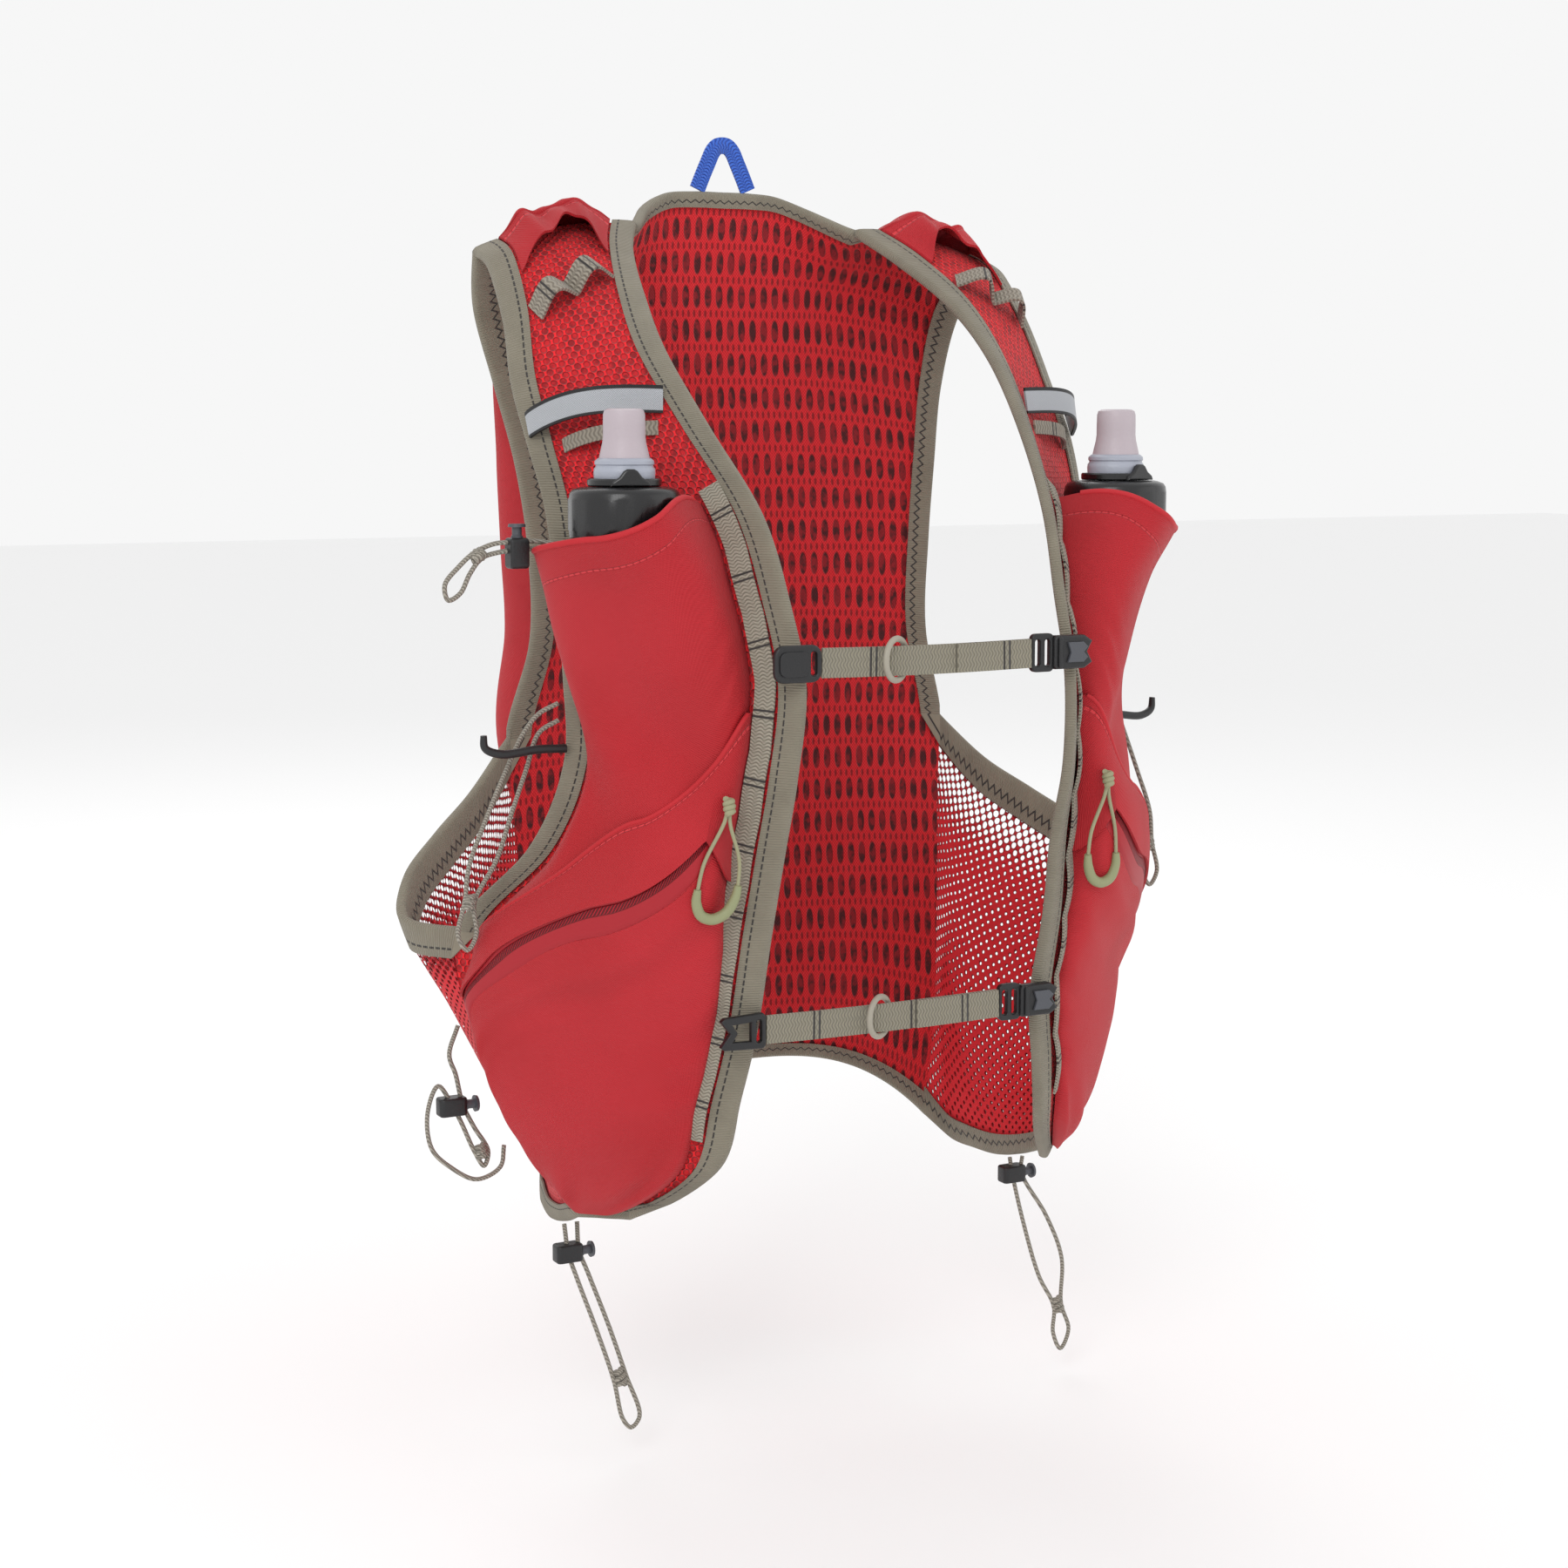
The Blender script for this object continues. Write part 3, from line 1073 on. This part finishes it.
# %% Haul loop at the nape
collar = back_point(0.0, 0.0)
bend = np.array([[-13, 0], [-10.4, 6], [-7.6, 12], [-4.8, 17.6], [-2.2, 19.8],
                 [2.2, 19.8], [4.8, 17.6], [7.6, 12], [10.4, 6], [13, 0]]) * MM
path = smooth_line(np.stack([bend[:, 0], 0 * bend[:, 0], bend[:, 1]], -1)) + collar + [0, 0, 0.0017]
around = np.cross(np.gradient(path, axis=0), [0.0, 1.0, 0.0])
tape("haul_loop_skin", path, around, 0.0075, 0.0012, blue_tape, "blue_webbing", ["haul_loop"])
print("haul loop is", round(length_of(path) * 1000), "mm long")

# %% Gathered flap on the shoulder
flap = table("end crest lip", [
    [0.060, 0.00, 0.00], [0.035, 0.70, 0.80], [0.020, 1.00, 1.00], [0.040, 0.60, 0.80], [0.050, 0.90, 0.50],
    [0.075, 0.00, 0.00]])
s, t = grid(61, 25)
v = 0.006 + (read(flap["end"], s) + 0.02) * t
a = BINDING + 0.001 + (front_width(v) - 2 * BINDING - 0.002) * s
rise = read(flap["crest"], s) * (1 - t) + read(flap["lip"], s) * t
gather = 0.0011 * ripple(s, t, 4.0, 2.5 / math.tau) * np.sin(math.pi * s)
at = front_point(v, a, MESH_WALL / 2 + 2 * LAYER_GAP + CLOTH_WALL / 2 + 0.009 * rise + gather)
sewn_pair("shoulder_flap", at, np.broadcast_to(front_frame(v)[2], at.shape), CLOTH_WALL,
          seamed_cloth("flap_cloth", 3.0), "stretch_cloth")
print("flaps sewn")

# %% Yoke that joins the flap to the storage shell behind the shoulder
share = a[0] / front_width(0.0)
behind = NECK_SHARE + (1 - NECK_SHARE) * share[None] * (1 - 0.06 * t)
low = 0.062 + 0 * t
rear = back_point(behind, low) + face_out(back_point, behind, low, -1.0) * 0.0055
blend = ease(t)[..., None]
yoke = at[0][None] * (1 - blend) + rear * blend
gather = 0.006 + 0.0012 * ripple(s, t, 5.0, 3 / math.tau)
yoke[..., 2] += gather * np.sin(math.pi * t) * np.sin(math.pi * s) ** 0.5
down_way = unit(np.gradient(yoke, axis=0))
yoke_out = unit(np.cross(down_way, unit(np.gradient(yoke, axis=1))))
for side, sign in SIDES:
    made = piece(side + "_shoulder_yoke", *thick(yoke * [sign, 1, 1], yoke_out * [sign, 1, 1], CLOTH_WALL),
                 stretch, marks=np.tile(grid_marks(yoke), (2, 1)), slot="stretch_cloth")
print("yoke runs back", round(float(yoke[-1, 30, 1] - yoke[0, 30, 1]) * 1000), "mm")

# %% [markdown]
# ## Flasks, caps and valves
# Each soft flask has a screw cap with wide grip facets and a frosted bite valve. A ring round the valve's foot
# turns to lock it, with a black hump to push. All are turned round the cap's upright axis, and the ring rides
# on its own body, since it is what moves.

# %% Turned pieces
TURNED_SIDES = 72


def turned(name, profile, centre, finish, nodes=(), body="vest", slot="black_plastic", facets=0):
    turn = np.linspace(0, math.tau, TURNED_SIDES, endpoint=False)
    cut = np.ones(TURNED_SIDES)
    if facets:
        cut = math.cos(math.pi / facets) / np.cos((turn % (math.tau / facets)) - math.pi / facets)
    rings = []
    for radius, height, share in profile:
        r = max(radius, 0.02) * MM * (1 + share * (cut * 1.02 - 1))
        rings.append(np.stack([r * np.cos(turn), r * np.sin(turn), 0 * turn + height * MM], -1) + centre)
    return piece(name, *loft(np.array(rings)), finish, nodes, body=body, slot=slot, crease=38)


cap_profile = [(0, -21, 0), (21.2, -21, 0), (22.3, -20, 0), (22.4, -17.6, 0), (22.4, -17, 1), (22.4, -5, 1),
               (22.3, -4.4, 0), (22.0, -2.6, 0), (21.0, -1.2, 0), (18.6, -0.3, 0), (17, 0, 0), (0, 0, 0)]
foot_profile = [(0, 0.3, 0), (11.8, 0.3, 0), (12.1, 1.2, 0), (12.4, 5.6, 0), (12.2, 7.2, 0), (11.6, 7.8, 0),
                (11.5, 8.4, 0), (12.0, 9.0, 0), (11.9, 10.2, 0), (11.0, 11.0, 0), (10.4, 11.4, 0), (0, 11.5, 0)]
valve_profile = [(0, 11.2, 0), (10.2, 11.2, 0), (9.6, 14, 0), (8.8, 17.4, 0), (8.5, 20, 0), (8.5, 24, 0),
                 (8.4, 28.6, 0), (7.9, 30.2, 0), (6.6, 30.9, 0), (4.5, 31, 0), (3.6, 30.2, 0), (0, 30, 0)]
band_profile = [(12.8, 0.5, 0), (13.4, 0.3, 0), (14.6, 0.3, 0), (15, 0.8, 0), (15, 2.7, 0), (14.5, 3.3, 0),
                (13.2, 3.3, 0), (12.8, 3.0, 0), (12.75, 1.6, 0)]
CAP_SPOT = 0.357
cap_top = front_point(CAP_SPOT, 0.0492, 0.0262)
cap_top[2] = -0.2545 * VEST_DROP
for side, sign in SIDES:
    top = cap_top * [sign, 1, 1]
    turned(side + "_cap_skin", cap_profile, top, cap_plastic, [side + "_flask_cap"], facets=14)
    turned(side + "_valve_skin", valve_profile, top, valve_rubber, [side + "_bite_valve"], slot="valve_rubber")
    turned(side + "_valve_foot", foot_profile, top, valve_foot, slot="valve_rubber")
    turned(side + "_ring_skin", [*band_profile, band_profile[0]], top, cap_plastic, [side + "_valve_ring"],
           body=side + "_valve_ring", slot="black_plastic")
print("cap's top at", np.round(cap_top * 1000, 1))

# %% Hump on each ring, which turns with it
HUMP_TURN = math.pi * 1.08
arch = [(-8.2, -3.2), (8.2, -3.2), (7.4, -1.4), (4.6, 0.4), (2.8, 2.8), (1.4, 3.6), (-1.4, 3.6), (-2.8, 2.8),
        (-4.6, 0.4), (-7.4, -1.4)]
for side, sign in SIDES:
    top = cap_top * [sign, 1, 1]
    outward = np.array([-math.sin(HUMP_TURN) * sign, math.cos(HUMP_TURN), 0])
    along = np.array([math.cos(HUMP_TURN), math.sin(HUMP_TURN) * sign, 0])
    moulding(side + "_hump", [arch], 2.6, top + outward * 0.0138 + [0, 0, 0.0036],
             cap_plastic, axes=(along, [0, 0, 1], outward), body=side + "_valve_ring", bevel=0.9)
print("humps ride on the rings")

# %% Flasks between panel and pocket
flask = table("v across wide thick", [
    [0.43, 50, 42, 24], [0.50, 51, 42, 14], [0.57, 50, 40, 9], [0.63, 49, 26, 6]])
around = np.linspace(0, math.tau, 36, endpoint=False)[:, None]


def flask_oval(centre, side, out, wide, thickness):
    return centre + side * wide / 2 * np.cos(around) + out * thickness / 2 * np.sin(around)


neck_side = unit(front_frame(CAP_SPOT)[1] * [1, 1, 0])
neck_out = np.array([neck_side[1], -neck_side[0], 0])
ovals = [flask_oval(cap_top - [0, 0, 0.0215], neck_side, neck_out, 0.034, 0.034),
         flask_oval(cap_top - [0, 0, 0.027], neck_side, neck_out, 0.034, 0.030)]
for v, across, wide, thickness in zip(*flask.values()):
    _, side, out, _, _ = front_frame(v)
    middle = front_point(v, across * MM, 0.0026 + thickness * MM / 2)
    ovals.append(flask_oval(middle, side, out, wide * MM, thickness * MM))
ovals = np.stack([smooth_line(np.array(ovals)[:, k], 6) for k in range(len(around))], 1)
for side, sign in SIDES:
    piece(side + "_flask_skin", *loft(ovals * [sign, 1, 1]), flask_film, [side + "_flask"], slot="flask_film")
print("flask's rings:", len(ovals))

# %% [markdown]
# ## Chest straps
# Each strap is a taupe webbing between a clip that slides on the ladder and a ladder lock with a small buckle.
# A ring hangs on the webbing. The straps are tapes, the ring is a closed tube, and the hard pieces are plates.

# %% Straps, rings and buckles
strap = table("rimV stand strapX lockX ringX drop", [
    [0.484, 3.4, -0.440, 0.318, -0.175, 0.412], [0.785, 5.2, -0.515, 0.352, -0.100, 0.761]])
UPRIGHT = np.array([[0.0, 0.0, 1.0]])
STRAP_WIDTH, STRAP_WALL, CLIP_WALL = 0.012, 0.0012, 3.2
RING_RADIUS, WIRE_RADIUS, RING_TURN = 8.4, 1.3, math.pi / 6
wire = np.linspace(0, math.tau, 12, endpoint=False)
wedge = [(-9.5, -5.5), (-8.5, -7), (5.5, -7), (9.5, -4.5), (7.0, 0), (9.5, 4.5), (5.5, 7), (-8.5, 7),
         (-9.5, 5.5)]
tab = [(-4.5, -4.2), (3.2, -4.2), (5.4, -2.2), (3.4, 0), (5.4, 2.2), (3.2, 4.2), (-4.5, 4.2), (-3.0, 0)]
winged = [(10.3, 6.2), (9.2, 7.4), (7.4, 7.4), (-8.6, 6.8), (-10.4, 5.4), (-6.0, 0), (-10.4, -5.4),
          (-8.6, -6.8), (7.4, -7.4), (9.2, -7.4), (10.3, -6.2)]
winged_hole = [(3.6, 4.0), (-5.0, 3.6), (-2.6, 0), (-5.0, -3.6), (3.6, -4.0)]


def wire_ring(turn):
    reach, lift = RING_RADIUS + WIRE_RADIUS * np.cos(wire), WIRE_RADIUS * np.sin(wire)
    flat = reach * math.cos(turn)
    return np.stack([flat * math.cos(RING_TURN) - lift * math.sin(RING_TURN),
                     flat * math.sin(RING_TURN) + lift * math.cos(RING_TURN), reach * math.sin(turn)], -1) * MM


for name, rim_v, stand, strap_x, lock_x, ring_x, drop in zip(("upper", "lower"), *strap.values()):
    y = float(front_point(rim_v, 0.0, 0.0)[1]) - (stand + 1.6) * MM
    z = -drop * VEST_DROP
    start, stop = strap_x * HALF_WIDTH, lock_x * HALF_WIDTH - 0.0005
    t = np.linspace(0, 1, 70)
    at = np.stack([start + (stop - start) * t, y + 0 * t, z - 0.0006 * np.sin(math.pi * t)], -1)
    tape(name + "_strap_skin", at, UPRIGHT, STRAP_WIDTH, STRAP_WALL, chest_tape, "webbing", [name + "_strap"])
    tape(name + "_strap_fold", at[44:] + [0, -0.0013, 0], UPRIGHT, 0.0118, 0.0011, chest_tape, "webbing")
    rings = np.array([wire_ring(turn) for turn in np.linspace(0, math.tau, 64, endpoint=False)])
    piece(name + "_ring_skin", *loft(rings + [ring_x * HALF_WIDTH, y, z], closed=True), ring_plastic,
          [name + "_ring"], slot="ring_plastic")
    lock = np.array([lock_x * HALF_WIDTH, y, z])
    moulding(name + "_lock_frame",
             [rounded(11, 16, 2.4), rounded(2.6, 11, 1.0, -2.6), rounded(2.6, 11, 1.0, 2.2)],
             CLIP_WALL, lock + [0.0055, 0, 0], black_plastic, bevel=0.7)
    moulding(name + "_buckle_skin", [wedge], 5.0, lock + [0.0195, -0.0009, 0], black_plastic,
             nodes=[name + "_buckle"], bevel=1.1, crease=30)
    moulding(name + "_buckle_tab", [tab], 1.6, lock + [0.0205, -0.0038, 0], grey_plastic, bevel=0.4)
    moulding(name + "_buckle_bar", [rounded(2.0, 13.0, 0.9)], 2.0, lock + [0.0125, -0.0036, 0], black_plastic,
             bevel=0.5)
    clip_at = np.array([start - 0.011, y, z])
    if name == "upper":
        moulding("upper_clip_skin", [rounded(21, 15, 4.2), rounded(2.6, 9.5, 1.2, 7.0)], CLIP_WALL, clip_at,
                 black_plastic, nodes=["upper_clip"], bevel=1.0)
        moulding("upper_clip_face", [rounded(13, 10, 3.0, -2.2)], 1.2, clip_at + [0, -0.0018, 0], black_plastic,
                 bevel=0.4)
    else:
        moulding("lower_clip_skin", [winged, winged_hole, rounded(2.4, 9.5, 1.0, 7.2)], CLIP_WALL, clip_at,
                 black_plastic, nodes=["lower_clip"], bevel=0.8)
print("two chest straps")

# %% [markdown]
# ## Zip pulls and pole hooks
# The zip pull is a thin cord loop with a bent rubber grip. The pole hook is a rounded rod that curls at
# its end.

# %% Zip pulls
def pull_point(v, reach):
    return front_point(v, 0.020 + 0.8 * reach, 0.016 + 0.5 * reach)


PULL_REACH = 0.0088
grip = smooth_line(np.array([pull_point(v, share * PULL_REACH + slip) for v, share, slip in (
    (0.661, -1, 0), (0.672, -1, 0.0006), (0.683, -0.6, 0), (0.687, 0, 0), (0.683, 0.6, 0), (0.672, 1, -0.0004),
    (0.661, 1, 0))]))
loop = smooth_line(np.array([pull_point(v, share * PULL_REACH + slip) for v, share, slip in (
    (0.665, -1, 0), (0.640, -1, 0.0012), (0.606, 0, -0.0012), (0.588, 0, 0), (0.606, 0, 0.0012),
    (0.640, 1, -0.0012), (0.665, 1, 0))]))
taper = 0.0023 * (1 - 0.35 * np.abs(np.linspace(-1, 1, len(grip))) ** 3)
pull_cord = moulded("pull_cord", paint(152, 150, 118), 0.7, 900, 0.0003)
for side, sign in SIDES:
    piece(side + "_pull_grip", *loft(tube_rings(grip, taper, 14) * [sign, 1, 1]), pull_rubber,
          [side + "_zip_pull"], slot="pull")
    piece(side + "_pull_loop", *loft(tube_rings(loop, 0.0008, 10) * [sign, 1, 1]), pull_cord, slot="pull")
    knot(side + "_pull_knot", pull_point(0.592, 0.0) * [sign, 1, 1], [0, 0.2, 1], 0.008, 0.0048, pull_cord)
print("pulls hang", round(float(pull_point(0.69, 0.0)[2]) * 1000), "mm down")

# %% Pole hooks
hook = smooth_line(place(*np.array([[1.015, 0.540, 0.500], [1.110, 0.530, 0.500], [1.225, 0.520, 0.503],
                                    [1.275, 0.512, 0.497], [1.280, 0.512, 0.485]]).T))
thickness = 0.0018 * (1 - 0.25 * np.linspace(0, 1, len(hook)) ** 4)
for side, sign in SIDES:
    piece(side + "_pole_hook_skin", *loft(tube_rings(hook, thickness, 16) * [sign, 1, 1]), black_plastic,
          [side + "_pole_hook"], slot="black_plastic")
print("hook is", round(length_of(hook) * 1000), "mm long")

# %% [markdown]
# ## Floor
# A plain pale floor lies under the lowest cord and runs past the edge of the picture.

# %% Floor
FLOOR_HEIGHT, FLOOR_REACH = -0.545, 9
corners = [(x * FLOOR_REACH, y * FLOOR_REACH, FLOOR_HEIGHT) for x, y in ((-1, -1), (1, -1), (1, 1), (-1, 1))]
floor_mesh = bpy.data.meshes.new("floor")
floor_mesh.from_pydata(corners, [], [(0, 1, 2, 3)])
floor = bpy.data.objects.new("floor", floor_mesh)
scene.collection.objects.link(floor)
floor_mesh.materials.append(Finish("pale_floor", (0.93, 0.93, 0.93, 1), 0.9).material)
print("floor laid")
